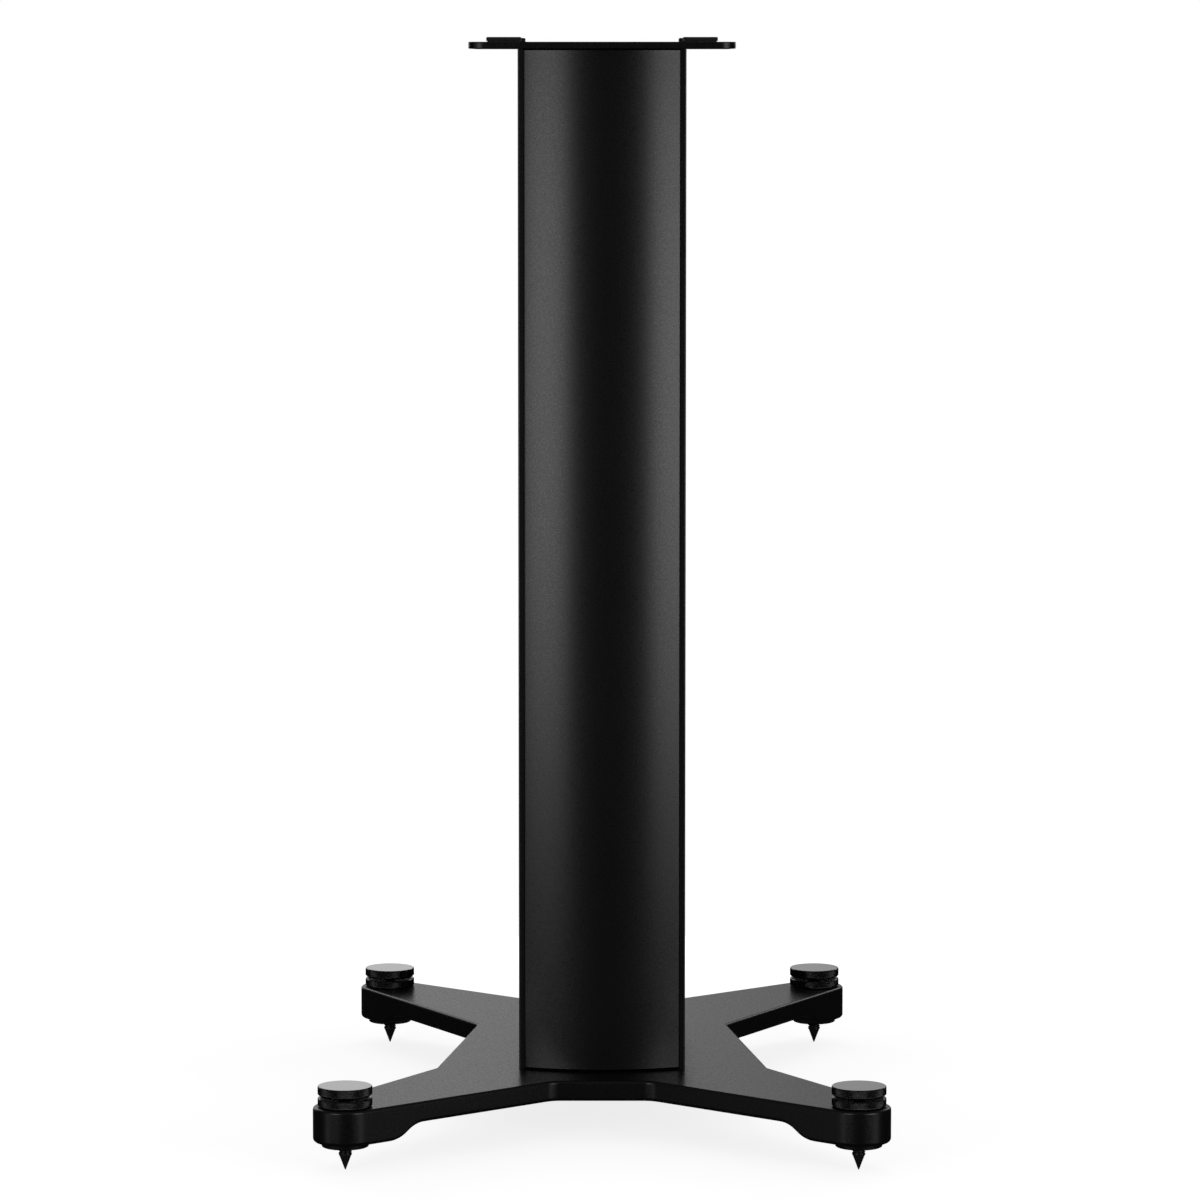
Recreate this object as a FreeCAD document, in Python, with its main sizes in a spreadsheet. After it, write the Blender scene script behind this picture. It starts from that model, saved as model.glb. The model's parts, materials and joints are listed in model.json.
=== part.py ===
import FreeCAD, Part
import math
import os
import Sketcher

# Loudspeaker stand: a cast four-armed base on adjustable spikes, an extruded column with a
# bowed front cover and a cable duct behind, and a flat top plate with four rubber pads.
#
# Millimetres. +Z is up, -Y is the front, +X is to the right seen from the front. The origin
# is on the floor, midway between the spike points.

SIZES = [
    # heights above the floor
    ("foot_under", 16.5),
    ("middle_under", 25.0),
    ("base_top", 37.2),
    ("column_length", 606.0),
    # base casting, seen from above; the foot axes are the centres of the arm ends
    ("front_foot_x", 148.05),
    ("front_foot_back", 199.7),
    ("rear_foot_x", 138.1),
    ("rear_foot_back", 199.7),
    ("arm_end_radius", 18.6),
    ("front_edge_half", 28.4),
    ("front_edge_back", 125.8),
    ("rear_edge_half", 25.0),
    ("rear_edge_back", 131.8),
    ("waist_front_x", 99.2),
    ("waist_front_back", 83.0),
    ("waist_rear_x", 78.0),
    ("waist_rear_back", 60.8),
    ("broad_corner_radius", 12.0),
    ("tight_corner_radius", 4.0),
    ("base_top_rounding", 1.75),
    ("base_under_bevel", 1.6),
    # the S curve under each arm, from the foot's flat to the thinner middle
    ("front_arm_turn", 131.5),
    ("rear_arm_turn", 231.0),
    ("curve_start", 16.5),
    ("curve_run", 24.5),
    ("curve_reach", 275.0),
    ("curve_sweep", 200.0),
    # column extrusion
    ("column_half_width", 49.5),
    ("column_half_depth", 88.5),
    ("side_wall", 3.3),
    ("web", 3.0),
    ("front_web_back", 78.0),
    ("middle_web_back", 15.5),
    ("rear_web_back", 46.0),
    ("column_corner_radius", 0.8),
    ("ledge_depth", 3.4),
    ("ledge_thick", 2.0),
    ("ledge_back", 84.19),
    ("port_inset", 6.0),
    ("port_radius", 6.6),
    ("port_bore", 3.05),
    # bowed covers, clipped into the column's front and rear
    ("cover_radius", 118.0),
    ("cover_apex", 96.8),
    ("cover_thick", 3.0),
    ("cover_half_width", 46.0),
    ("cover_foot_gap", 1.3),
    ("cover_top_gap", 0.8),
    ("cover_leg_x", 38.9),
    ("cover_leg_thick", 2.2),
    ("cover_leg_back", 79.4),
    ("cover_barb", 2.6),
    ("cover_barb_back", 82.0),
    ("cover_barb_flat", 1.3),
    ("cable_window", 45.0),
    # top plate and pads
    ("plate_half_width", 78.0),
    ("plate_half_depth", 112.0),
    ("plate_thick", 4.0),
    ("plate_corner_radius", 9.0),
    ("plate_edge_bevel", 0.4),
    ("pad_width", 20.0),
    ("pad_depth", 40.0),
    ("pad_rubber", 2.3),
    ("pad_tape", 0.5),
    ("pad_bevel", 0.4),
    ("pad_x", 57.5),
    ("pad_front_back", 82.0),
    ("tape_inset", 0.6),
    # screws
    ("screw_radius", 3.0),
    ("screw_hole", 3.3),
    ("screw_grip", 20.0),
    ("cap_radius", 5.0),
    ("cap_height", 6.0),
    ("cap_bore_radius", 5.6),
    ("cap_bore_depth", 6.6),
    ("cap_socket", 2.9),
    ("cap_socket_depth", 3.0),
    ("flush_head_radius", 5.8),
    ("flush_head_height", 2.8),
    ("flush_socket", 2.3),
    ("flush_socket_depth", 1.8),
    ("sink_gap", 0.15),
    # one foot: threaded insert, spike, lock ring and knob
    ("insert_radius", 7.95),
    ("insert_bore", 8.0),
    ("insert_top", 36.2),
    ("flange_radius", 13.6),
    ("flange_thick", 2.8),
    ("spindle_radius", 3.95),
    ("spindle_bore", 4.0),
    ("spindle_top", 47.4),
    ("cone_height", 9.0),
    ("tip_radius", 0.3),
    ("ring_radius", 15.85),
    ("ring_height", 5.2),
    ("ring_under_bevel", 1.2),
    ("knob_gap", 0.9),
    ("knob_height", 5.8),
    ("knob_under_bevel", 1.3),
    ("knob_cap", 1.3),
    # tools that cut past a face
    ("overcut", 5.0),
]

# The sketch planes' own names for the origin, the x axis and the y axis.
SKETCH_ORIGIN = (-1, 1)
SKETCH_X = -1
SKETCH_Y = -2
START = 1
END = 2
CENTRE = 3

doc = FreeCAD.newDocument("SpeakerStand")
sheet = doc.addObject("Spreadsheet::Sheet", "Sizes")
for row, (alias, number) in enumerate(SIZES, start=1):
    sheet.set(f"A{row}", alias)
    sheet.set(f"B{row}", str(number))
    sheet.setAlias(f"B{row}", alias)
doc.recompute()


def value(expression):
    """The number that an expression of sheet cells stands for."""
    return float(sheet.evalExpression(expression))


# Heights and places that several pieces share, each worked out from the driving sizes.
PLATE_UNDER = "(Sizes.base_top + Sizes.column_length)"
PLATE_TOP = f"({PLATE_UNDER} + Sizes.plate_thick)"
RING_TOP = "(Sizes.base_top + Sizes.ring_height)"
KNOB_UNDER = f"({RING_TOP} + Sizes.knob_gap)"
WALL_INSIDE = "(Sizes.column_half_width - Sizes.side_wall)"
FRONT_PORT_BACK = "(Sizes.front_web_back - Sizes.web - Sizes.port_inset)"
REAR_PORT_BACK = "(Sizes.rear_web_back - Sizes.port_inset)"
PORT_X = f"({WALL_INSIDE} - Sizes.port_inset)"

FEET = {
    "front_left": ("-Sizes.front_foot_x", "-Sizes.front_foot_back"),
    "front_right": ("Sizes.front_foot_x", "-Sizes.front_foot_back"),
    "rear_left": ("-Sizes.rear_foot_x", "Sizes.rear_foot_back"),
    "rear_right": ("Sizes.rear_foot_x", "Sizes.rear_foot_back"),
}
PORTS = {
    "front_left": (f"-{PORT_X}", f"-{FRONT_PORT_BACK}"),
    "front_right": (PORT_X, f"-{FRONT_PORT_BACK}"),
    "rear_left": (f"-{PORT_X}", REAR_PORT_BACK),
    "rear_right": (PORT_X, REAR_PORT_BACK),
}
PADS = {
    "front_left": ("-Sizes.pad_x", "-Sizes.pad_front_back"),
    "front_right": ("Sizes.pad_x", "-Sizes.pad_front_back"),
    "rear_left": ("-Sizes.pad_x", "Sizes.pad_front_back"),
    "rear_right": ("Sizes.pad_x", "Sizes.pad_front_back"),
}

subparts = []


def place(piece, x="0", y="0", z="0"):
    """Puts a piece at a place given by sheet expressions."""
    for axis, expression in (("x", x), ("y", y), ("z", z)):
        piece.setExpression(f"Placement.Base.{axis}", expression)


# ---------------------------------------------------------------- sketches and features


def new_body(label):
    body = doc.addObject("PartDesign::Body", label)
    body.Label = label
    subparts.append(body)
    return body


def origin_plane(body, role):
    return next(f for f in body.Origin.OriginFeatures if f.Role == role)


def new_sketch(body, label, role="XY_Plane", lift="0"):
    """An empty sketch on one of the body's own planes, moved along the plane's normal."""
    sketch = body.newObject("Sketcher::SketchObject", label)
    sketch.AttachmentSupport = [(origin_plane(body, role), "")]
    sketch.MapMode = "FlatFace"
    sketch.setExpression("AttachmentOffset.Base.z", lift)
    return sketch


def fix_point(sketch, edge, end, x, y):
    """Ties one point of an edge to sheet expressions for its two coordinates."""
    for axis, kind, expression in (
        (SKETCH_Y, "DistanceX", x),
        (SKETCH_X, "DistanceY", y),
    ):
        if expression == "0":
            sketch.addConstraint(Sketcher.Constraint("PointOnObject", edge, end, axis))
            continue
        rule = Sketcher.Constraint(kind, *SKETCH_ORIGIN, edge, end, value(expression))
        number = sketch.addConstraint(rule)
        sketch.setExpression(f"Constraints[{number}]", expression)


def fix_radius(sketch, edge, radius):
    rule = Sketcher.Constraint("Radius", edge, value(radius))
    number = sketch.addConstraint(rule)
    sketch.setExpression(f"Constraints[{number}]", radius)


def bulged(start, end, radius, side):
    """Arc between two points; side is 1 to bulge to the right of the way from start to end."""
    chord = end - start
    half = chord.Length / 2
    across = FreeCAD.Vector(chord.y, -chord.x, 0).normalize()
    rise = radius - math.sqrt(radius**2 - half**2)
    return Part.Arc(start, (start + end) / 2 + across * (rise * side), end)


def profile(sketch, corners):
    """A closed run of edges. Each corner is a pair of expressions, and a corner with a radius
    and a side as well starts an arc."""
    points = [FreeCAD.Vector(value(c[0]), value(c[1]), 0) for c in corners]
    first = sketch.GeometryCount
    starts = []
    for number, corner in enumerate(corners):
        here = points[number]
        there = points[(number + 1) % len(points)]
        if len(corner) == 2:
            edge = Part.LineSegment(here, there)
        else:
            edge = bulged(here, there, value(corner[2]), corner[3])
        index = sketch.addGeometry(edge)
        forward = sketch.getPoint(index, START).distanceToPoint(here) < 1e-6
        starts.append(START if forward else END)
    ends = [END if start == START else START for start in starts]
    for number, corner in enumerate(corners):
        following = (number + 1) % len(corners)
        meet = (first + number, ends[number], first + following, starts[following])
        sketch.addConstraint(Sketcher.Constraint("Coincident", *meet))
        fix_point(sketch, first + number, starts[number], corner[0], corner[1])
        if len(corner) > 2:
            fix_radius(sketch, first + number, corner[2])


def circle(sketch, x, y, radius):
    centre = FreeCAD.Vector(value(x), value(y), 0)
    normal = FreeCAD.Vector(0, 0, 1)
    edge = sketch.addGeometry(Part.Circle(centre, normal, value(radius)))
    fix_point(sketch, edge, CENTRE, x, y)
    fix_radius(sketch, edge, radius)


def pad(body, sketch, label, length):
    feature = body.newObject("PartDesign::Pad", label)
    feature.Profile = sketch
    feature.setExpression("Length", length)
    sketch.Visibility = False
    doc.recompute()
    return feature


def pocket(body, sketch, label, length, both_ways=False):
    """Cuts the sketch upwards from its plane, and stops where it cuts nothing."""
    before = body.Shape.Volume
    feature = body.newObject("PartDesign::Pocket", label)
    feature.Profile = sketch
    feature.setExpression("Length", length)
    feature.Reversed = not both_ways
    feature.SideType = "Symmetric" if both_ways else "One side"
    sketch.Visibility = False
    doc.recompute()
    if body.Shape.Volume >= before:
        raise RuntimeError(f"{label} removes nothing")
    return feature


def revolve(body, sketch, label):
    feature = body.newObject("PartDesign::Revolution", label)
    feature.Profile = sketch
    feature.ReferenceAxis = (sketch, ["V_Axis"])
    feature.Angle = 360
    sketch.Visibility = False
    doc.recompute()
    return feature


def mirror(body, label, features):
    """Repeats features on the other side of the stand's centre plane."""
    feature = body.newObject("PartDesign::Mirrored", label)
    feature.Originals = features
    feature.MirrorPlane = (origin_plane(body, "YZ_Plane"), [""])
    body.Tip = feature
    doc.recompute()
    return feature


def round_edges(body, label, radius, wanted, kind="PartDesign::Fillet"):
    """Rounds or bevels the edges for which wanted(shape, edge) is true."""
    base = body.Tip
    shape = base.Shape
    chosen = [
        f"Edge{number}"
        for number, edge in enumerate(shape.Edges, start=1)
        if wanted(shape, edge)
    ]
    if not chosen:
        raise RuntimeError(f"{label} found no edges")
    feature = body.newObject(kind, label)
    feature.Base = (base, chosen)
    size = "Radius" if kind == "PartDesign::Fillet" else "Size"
    feature.setExpression(size, radius)
    doc.recompute()
    return feature


def is_upright(edge):
    """True for a straight edge along Z."""
    if not isinstance(edge.Curve, Part.Line):
        return False
    return abs(edge.tangentAt(edge.FirstParameter).z) > 0.999


def middle(edge):
    return edge.valueAt((edge.FirstParameter + edge.LastParameter) / 2)


def lies_at(edge, height):
    return all(abs(v.Z - height) < 1e-3 for v in edge.Vertexes)


def is_side(face):
    """True for a face whose normal is level all over."""
    low_u, high_u, low_v, high_v = face.ParameterRange
    normals = [
        face.normalAt(low_u + (high_u - low_u) * u, low_v + (high_v - low_v) * v)
        for u in (0.1, 0.5, 0.9)
        for v in (0.1, 0.9)
    ]
    return all(abs(normal.z) < 1e-3 for normal in normals)


# ---------------------------------------------------------------- base casting


def tangent_point(outside, centre, radius, side):
    """Where a line from a point outside touches a circle; side picks one of the two."""
    away = outside - centre
    swing = math.acos(radius / away.Length)
    angle = math.atan2(away.y, away.x) + side * swing
    return centre + FreeCAD.Vector(math.cos(angle), math.sin(angle), 0) * radius


def draw_base_half(sketch):
    """The right half of the base seen from above. It runs from the front edge round the
    front foot, in to the waist, and round the rear foot to the rear edge."""
    corners = {
        "front": ("Sizes.front_edge_half", "-Sizes.front_edge_back"),
        "waist_front": ("Sizes.waist_front_x", "-Sizes.waist_front_back"),
        "waist_rear": ("Sizes.waist_rear_x", "Sizes.waist_rear_back"),
        "rear": ("Sizes.rear_edge_half", "Sizes.rear_edge_back"),
    }
    spot = {
        name: FreeCAD.Vector(value(x), value(y), 0)
        for name, (x, y) in {**corners, **FEET}.items()
    }
    radius = value("Sizes.arm_end_radius")
    front_foot, rear_foot = spot["front_right"], spot["rear_right"]
    touches = [
        tangent_point(spot["front"], front_foot, radius, 1),
        tangent_point(spot["waist_front"], front_foot, radius, -1),
        tangent_point(spot["waist_rear"], rear_foot, radius, 1),
        tangent_point(spot["rear"], rear_foot, radius, -1),
    ]
    front_start = FreeCAD.Vector(0, spot["front"].y, 0)
    rear_end = FreeCAD.Vector(0, spot["rear"].y, 0)
    runs = [
        (front_start, spot["front"], touches[0]),
        (touches[1], spot["waist_front"], spot["waist_rear"], touches[2]),
        (touches[3], spot["rear"], rear_end, front_start),
    ]
    lines = [
        [sketch.addGeometry(Part.LineSegment(a, b)) for a, b in zip(run, run[1:])]
        for run in runs
    ]
    ends = []
    for foot, start, end in (
        (front_foot, touches[0], touches[1]),
        (rear_foot, touches[2], touches[3]),
    ):
        outward = ((start + end) / 2 - foot).normalize()
        ends.append(sketch.addGeometry(Part.Arc(start, foot + outward * radius, end)))
    for run in lines:
        for one, other in zip(run, run[1:]):
            sketch.addConstraint(Sketcher.Constraint("Coincident", one, END, other, START))
    sketch.addConstraint(
        Sketcher.Constraint("Coincident", lines[2][-1], END, lines[0][0], START)
    )
    for arc, arrives, leaves in ((0, 0, 1), (1, 1, 2)):
        into = (lines[arrives][-1], END, ends[arc], START)
        out = (ends[arc], END, lines[leaves][0], START)
        sketch.addConstraint(Sketcher.Constraint("Tangent", *into))
        sketch.addConstraint(Sketcher.Constraint("Tangent", *out))
        fix_radius(sketch, ends[arc], "Sizes.arm_end_radius")
    fix_point(sketch, ends[0], CENTRE, *FEET["front_right"])
    fix_point(sketch, ends[1], CENTRE, *FEET["rear_right"])
    fix_point(sketch, lines[0][0], END, *corners["front"])
    fix_point(sketch, lines[1][0], END, *corners["waist_front"])
    fix_point(sketch, lines[1][1], END, *corners["waist_rear"])
    fix_point(sketch, lines[2][0], END, *corners["rear"])
    for level in (lines[0][0], lines[2][1]):
        sketch.addConstraint(Sketcher.Constraint("Horizontal", level))
    for edge, end in ((lines[0][0], START), (lines[2][1], END)):
        sketch.addConstraint(Sketcher.Constraint("PointOnObject", edge, end, SKETCH_Y))


def relieve_arm(body, name, foot, turn):
    """Thins one arm from below: flat under the foot, then an S curve up to the thin middle.
    The sketch stands upright along the arm, with its x from the foot to the column."""
    sketch = new_sketch(body, f"{name}_arm_curve", "XZ_Plane", f"-({foot[1]})")
    sketch.setExpression("AttachmentOffset.Base.x", foot[0])
    sketch.AttachmentOffset = FreeCAD.Placement(
        sketch.AttachmentOffset.Base,
        FreeCAD.Rotation(FreeCAD.Vector(0, 1, 0), value(turn)),
    )
    sketch.setExpression("AttachmentOffset.Rotation.Angle", turn)
    rise = "(Sizes.middle_under - Sizes.foot_under)"
    bend = f"((Sizes.curve_run ^ 2 + {rise} ^ 2) / (4 * {rise}))"
    half_way = "(Sizes.curve_start + Sizes.curve_run / 2)"
    half_up = f"(Sizes.foot_under + {rise} / 2)"
    curve_end = "(Sizes.curve_start + Sizes.curve_run)"
    below = "(Sizes.foot_under - Sizes.overcut)"
    profile(
        sketch,
        [
            ("Sizes.curve_start", "Sizes.foot_under", bend, 1),
            (half_way, half_up, bend, -1),
            (curve_end, "Sizes.middle_under"),
            ("Sizes.curve_reach", "Sizes.middle_under"),
            ("Sizes.curve_reach", below),
            ("Sizes.curve_start", below),
        ],
    )
    return pocket(body, sketch, f"{name}_arm_relief", "Sizes.curve_sweep", both_ways=True)


def make_base():
    body = new_body("base_casting")
    outline = new_sketch(body, "base_outline", lift="Sizes.foot_under")
    draw_base_half(outline)
    features = [pad(body, outline, "base_half", "Sizes.base_top - Sizes.foot_under")]
    features.append(
        relieve_arm(body, "front", FEET["front_right"], "Sizes.front_arm_turn")
    )
    features.append(relieve_arm(body, "rear", FEET["rear_right"], "Sizes.rear_arm_turn"))
    mirror(body, "base_whole", features)

    broad = [
        ("Sizes.front_edge_half", "-Sizes.front_edge_back"),
        ("Sizes.rear_edge_half", "Sizes.rear_edge_back"),
        ("Sizes.waist_front_x", "-Sizes.waist_front_back"),
    ]
    tight = [("Sizes.waist_rear_x", "Sizes.waist_rear_back")]

    def upright_at(corners):
        spots = [(value(x), value(y)) for x, y in corners]

        def wanted(_shape, edge):
            at = middle(edge)
            near = any(math.hypot(abs(at.x) - x, at.y - y) < 1 for x, y in spots)
            return near and is_upright(edge)

        return wanted

    def under_side(shape, edge):
        faces = shape.ancestorsOfType(edge, Part.Face)
        low = max(v.Z for v in edge.Vertexes) < value("Sizes.base_top") - 1
        return low and not is_upright(edge) and any(is_side(face) for face in faces)

    round_edges(body, "broad_corners", "Sizes.broad_corner_radius", upright_at(broad))
    round_edges(body, "tight_corners", "Sizes.tight_corner_radius", upright_at(tight))
    top = value("Sizes.base_top")
    round_edges(
        body,
        "top_rounding",
        "Sizes.base_top_rounding",
        lambda _shape, edge: lies_at(edge, top),
    )
    bevel = "Sizes.base_under_bevel"
    round_edges(body, "under_bevel", bevel, under_side, "PartDesign::Chamfer")

    below = "(Sizes.foot_under - Sizes.overcut)"
    through = "(Sizes.base_top - Sizes.foot_under + 2 * Sizes.overcut)"
    bores = new_sketch(body, "insert_bores", lift=below)
    for x, y in FEET.values():
        circle(bores, x, y, "Sizes.insert_bore")
    pocket(body, bores, "insert_bore_cut", through)
    holes = new_sketch(body, "column_screw_holes", lift=below)
    counterbores = new_sketch(body, "column_screw_counterbores", lift=below)
    for x, y in PORTS.values():
        circle(holes, x, y, "Sizes.screw_hole")
        circle(counterbores, x, y, "Sizes.cap_bore_radius")
    pocket(body, holes, "column_screw_hole_cut", through)
    depth = f"(Sizes.middle_under - {below} + Sizes.cap_bore_depth)"
    pocket(body, counterbores, "column_screw_counterbore_cut", depth)


# ---------------------------------------------------------------- column and covers


def make_column():
    """One extrusion: two side walls joined by three webs, which close two chambers. Ledges
    inside the walls' front and rear edges hold the covers, and round ports in the chambers'
    corners take the screws."""
    body = new_body("column_core")
    sketch = new_sketch(body, "column_half", lift="Sizes.base_top")
    ledge_x = f"({WALL_INSIDE} - Sizes.ledge_depth)"
    ledge_inner = "(Sizes.ledge_back - Sizes.ledge_thick)"
    front_web_inner = "(Sizes.front_web_back - Sizes.web)"
    middle_web_inner = "(Sizes.middle_web_back - Sizes.web)"
    rear_web_outer = "(Sizes.rear_web_back + Sizes.web)"
    profile(
        sketch,
        [
            ("0", "-Sizes.front_web_back"),
            (WALL_INSIDE, "-Sizes.front_web_back"),
            (WALL_INSIDE, f"-{ledge_inner}"),
            (ledge_x, f"-{ledge_inner}"),
            (ledge_x, "-Sizes.ledge_back"),
            (WALL_INSIDE, "-Sizes.ledge_back"),
            (WALL_INSIDE, "-Sizes.column_half_depth"),
            ("Sizes.column_half_width", "-Sizes.column_half_depth"),
            ("Sizes.column_half_width", "Sizes.column_half_depth"),
            (WALL_INSIDE, "Sizes.column_half_depth"),
            (WALL_INSIDE, "Sizes.ledge_back"),
            (ledge_x, "Sizes.ledge_back"),
            (ledge_x, ledge_inner),
            (WALL_INSIDE, ledge_inner),
            (WALL_INSIDE, rear_web_outer),
            ("0", rear_web_outer),
            ("0", "Sizes.rear_web_back"),
            (WALL_INSIDE, "Sizes.rear_web_back"),
            (WALL_INSIDE, f"-{middle_web_inner}"),
            ("0", f"-{middle_web_inner}"),
            ("0", "-Sizes.middle_web_back"),
            (WALL_INSIDE, "-Sizes.middle_web_back"),
            (WALL_INSIDE, f"-{front_web_inner}"),
            ("0", f"-{front_web_inner}"),
        ],
    )
    features = [pad(body, sketch, "column_walls", "Sizes.column_length")]
    ports = new_sketch(body, "ports", lift="Sizes.base_top")
    bores = new_sketch(body, "port_bores", lift="Sizes.base_top - Sizes.overcut")
    for name in ("front_right", "rear_right"):
        circle(ports, *PORTS[name], "Sizes.port_radius")
        circle(bores, *PORTS[name], "Sizes.port_bore")
    features.append(pad(body, ports, "port_walls", "Sizes.column_length"))
    features.append(
        pocket(body, bores, "port_bore_cut", "Sizes.column_length + 2 * Sizes.overcut")
    )
    mirror(body, "column_whole", features)
    half_width = value("Sizes.column_half_width")
    half_depth = value("Sizes.column_half_depth")

    def outer_corner(_shape, edge):
        at = middle(edge)
        out = abs(at.x) > half_width - 1e-3 and abs(at.y) > half_depth - 1e-3
        return out and is_upright(edge)

    round_edges(body, "outer_corners", "Sizes.column_corner_radius", outer_corner)


def make_cover(label, bottom, length, turn):
    """A bowed panel that clips between the column's side walls. Its edges lie on the ledges,
    and a barbed leg near each edge hooks behind them."""
    body = new_body(label)
    sketch = new_sketch(body, f"{label}_half", lift=bottom)
    centre = "(Sizes.cover_radius - Sizes.cover_apex)"
    inner_radius = "(Sizes.cover_radius - Sizes.cover_thick)"
    leg_outer = "(Sizes.cover_leg_x + Sizes.cover_leg_thick)"
    barb_x = f"({leg_outer} + Sizes.cover_barb)"
    barb_turn = "(Sizes.cover_barb_back - Sizes.cover_barb_flat)"

    def bowed(radius, x):
        return f"({centre} - sqrt({radius} ^ 2 - {x} ^ 2))"

    edge = "Sizes.cover_half_width"
    profile(
        sketch,
        [
            ("0", "-Sizes.cover_apex", "Sizes.cover_radius", 1),
            (edge, bowed("Sizes.cover_radius", edge)),
            (edge, bowed(inner_radius, edge), inner_radius, -1),
            (leg_outer, bowed(inner_radius, leg_outer)),
            (leg_outer, "-Sizes.cover_barb_back"),
            (barb_x, "-Sizes.cover_barb_back"),
            (barb_x, f"-{barb_turn}"),
            (leg_outer, "-Sizes.cover_leg_back"),
            ("Sizes.cover_leg_x", "-Sizes.cover_leg_back"),
            (
                "Sizes.cover_leg_x",
                bowed(inner_radius, "Sizes.cover_leg_x"),
                inner_radius,
                -1,
            ),
            ("0", "-(Sizes.cover_apex - Sizes.cover_thick)"),
        ],
    )
    half = pad(body, sketch, f"{label}_panel", length)
    mirror(body, f"{label}_whole", [half])
    body.Placement = FreeCAD.Placement(
        FreeCAD.Vector(), FreeCAD.Rotation(FreeCAD.Vector(0, 0, 1), turn)
    )


# ---------------------------------------------------------------- top plate and pads


def rectangle(sketch, half_width, half_depth):
    profile(
        sketch,
        [
            (f"-{half_width}", f"-{half_depth}"),
            (half_width, f"-{half_depth}"),
            (half_width, half_depth),
            (f"-{half_width}", half_depth),
        ],
    )


def make_plate():
    body = new_body("top_plate")
    sketch = new_sketch(body, "plate_outline", lift=PLATE_UNDER)
    rectangle(sketch, "Sizes.plate_half_width", "Sizes.plate_half_depth")
    pad(body, sketch, "plate_sheet", "Sizes.plate_thick")
    round_edges(
        body,
        "plate_corners",
        "Sizes.plate_corner_radius",
        lambda _shape, edge: is_upright(edge),
    )
    round_edges(
        body,
        "plate_edge",
        "Sizes.plate_edge_bevel",
        lambda _shape, edge: not is_upright(edge),
        "PartDesign::Chamfer",
    )
    sunk = new_sketch(body, "plate_holes", lift=f"{PLATE_UNDER} - Sizes.overcut")
    for x, y in PORTS.values():
        circle(sunk, x, y, "Sizes.screw_hole")
    pocket(body, sunk, "plate_hole_cut", "Sizes.plate_thick + 2 * Sizes.overcut")
    for name, (x, y) in PORTS.items():
        cone = new_sketch(body, f"plate_sink_{name}", "XZ_Plane", f"-({y})")
        cone.setExpression("AttachmentOffset.Base.x", x)
        head = "(Sizes.flush_head_radius + Sizes.sink_gap)"
        throat = "Sizes.screw_hole"
        profile(
            cone,
            [
                ("0", PLATE_TOP),
                (head, PLATE_TOP),
                (throat, f"{PLATE_TOP} - ({head} - {throat})"),
                ("0", f"{PLATE_TOP} - ({head} - {throat})"),
            ],
        )
        sink = body.newObject("PartDesign::Groove", f"plate_sink_cut_{name}")
        sink.Profile = cone
        sink.ReferenceAxis = (cone, ["V_Axis"])
        sink.Angle = 360
        cone.Visibility = False
        doc.recompute()


def make_pad(name, x, y):
    body = new_body(f"pad_{name}")
    sketch = new_sketch(body, f"pad_outline_{name}")
    rectangle(sketch, "(Sizes.pad_width / 2)", "(Sizes.pad_depth / 2)")
    pad(body, sketch, f"pad_block_{name}", "Sizes.pad_rubber")
    top = value("Sizes.pad_rubber")
    round_edges(
        body,
        f"pad_edge_{name}",
        "Sizes.pad_bevel",
        lambda _shape, edge: lies_at(edge, top),
        "PartDesign::Chamfer",
    )
    place(body, x, y, f"{PLATE_TOP} + Sizes.pad_tape")


def make_tapes():
    """The adhesive layer under each pad, a little smaller than its pad."""
    layers = []
    for name, (x, y) in PADS.items():
        layer = doc.addObject("Part::Box", f"tape_{name}")
        layer.setExpression("Length", "Sizes.pad_width - 2 * Sizes.tape_inset")
        layer.setExpression("Width", "Sizes.pad_depth - 2 * Sizes.tape_inset")
        layer.setExpression("Height", "Sizes.pad_tape")
        place(
            layer,
            f"{x} - Sizes.pad_width / 2 + Sizes.tape_inset",
            f"{y} - Sizes.pad_depth / 2 + Sizes.tape_inset",
            PLATE_TOP,
        )
        layers.append(layer)
    group("pad_tapes", layers)


# ---------------------------------------------------------------- screws


def group(label, members):
    compound = doc.addObject("Part::Compound", label)
    compound.Links = members
    compound.Label = label
    subparts.append(compound)


def solid(kind, name, x, y, z, **sizes):
    """A primitive whose sizes are sheet expressions."""
    piece = doc.addObject(kind, name)
    for size, expression in sizes.items():
        piece.setExpression(size, expression)
    place(piece, x, y, z)
    return piece


def fused_less(name, head, shank, bore):
    """Head and shank joined, less a socket or a bore."""
    blank = doc.addObject("Part::Fuse", f"{name}_blank")
    blank.Base = head
    blank.Tool = shank
    piece = doc.addObject("Part::Cut", name)
    piece.Base = blank
    piece.Tool = bore
    return piece


def hexagon(name, x, y, z, across, depth):
    socket = doc.addObject("Part::Prism", name)
    socket.Polygon = 6
    socket.setExpression("Circumradius", across)
    socket.setExpression("Height", depth)
    place(socket, x, y, z)
    return socket


def make_column_screws():
    """Cap screws from under the base into the column's ports."""
    screws = []
    seat = "(Sizes.middle_under + Sizes.cap_bore_depth)"
    head_under = f"({seat} - Sizes.cap_height)"
    for name, (x, y) in PORTS.items():
        head = solid(
            "Part::Cylinder",
            f"cap_{name}",
            x,
            y,
            head_under,
            Radius="Sizes.cap_radius",
            Height="Sizes.cap_height",
        )
        shank = solid(
            "Part::Cylinder",
            f"cap_shank_{name}",
            x,
            y,
            head_under,
            Radius="Sizes.screw_radius",
            Height=f"Sizes.base_top + Sizes.screw_grip - {head_under}",
        )
        socket = hexagon(
            f"cap_socket_{name}",
            x,
            y,
            head_under,
            "Sizes.cap_socket",
            "Sizes.cap_socket_depth",
        )
        screws.append(fused_less(f"column_screw_{name}", head, shank, socket))
    group("column_screws", screws)


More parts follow.
